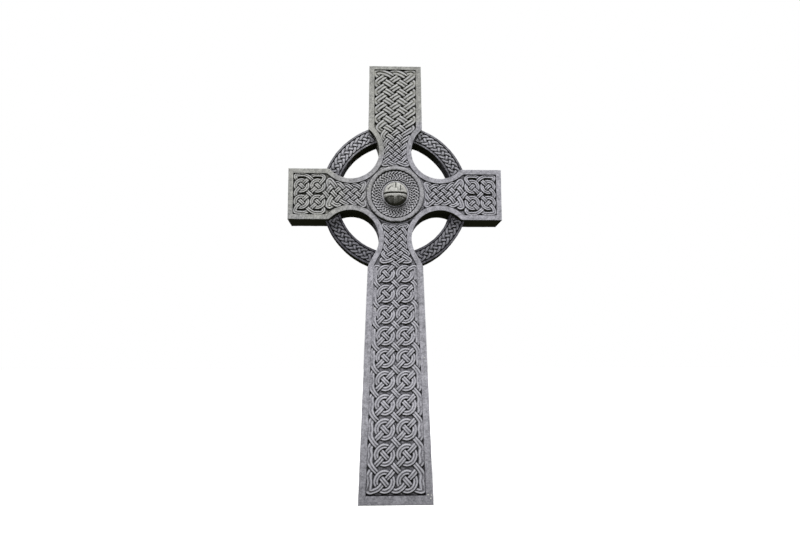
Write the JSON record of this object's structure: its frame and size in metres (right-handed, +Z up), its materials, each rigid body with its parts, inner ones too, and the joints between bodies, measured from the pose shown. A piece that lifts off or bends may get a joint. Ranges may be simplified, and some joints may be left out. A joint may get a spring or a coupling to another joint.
{
  "type": "celtic cross headstone",
  "caption": "Ringed stone high cross for a grave, carved from one block, with knotwork panels, a domed boss at the crossing and a flat underside.",
  "frame": {"origin": "middle of the underside of the shaft's foot", "axes": "+Z up the shaft, the carved front with the tall boss towards -Y, +X to the right of someone facing the front"},
  "size_m": [1.034, 0.264, 2.1],
  "materials": {
    "weathered_stone": "weathered, matt"
  },
  "bodies": {
    "root": {"cross": "weathered_stone"}
  },
  "joints": []
}
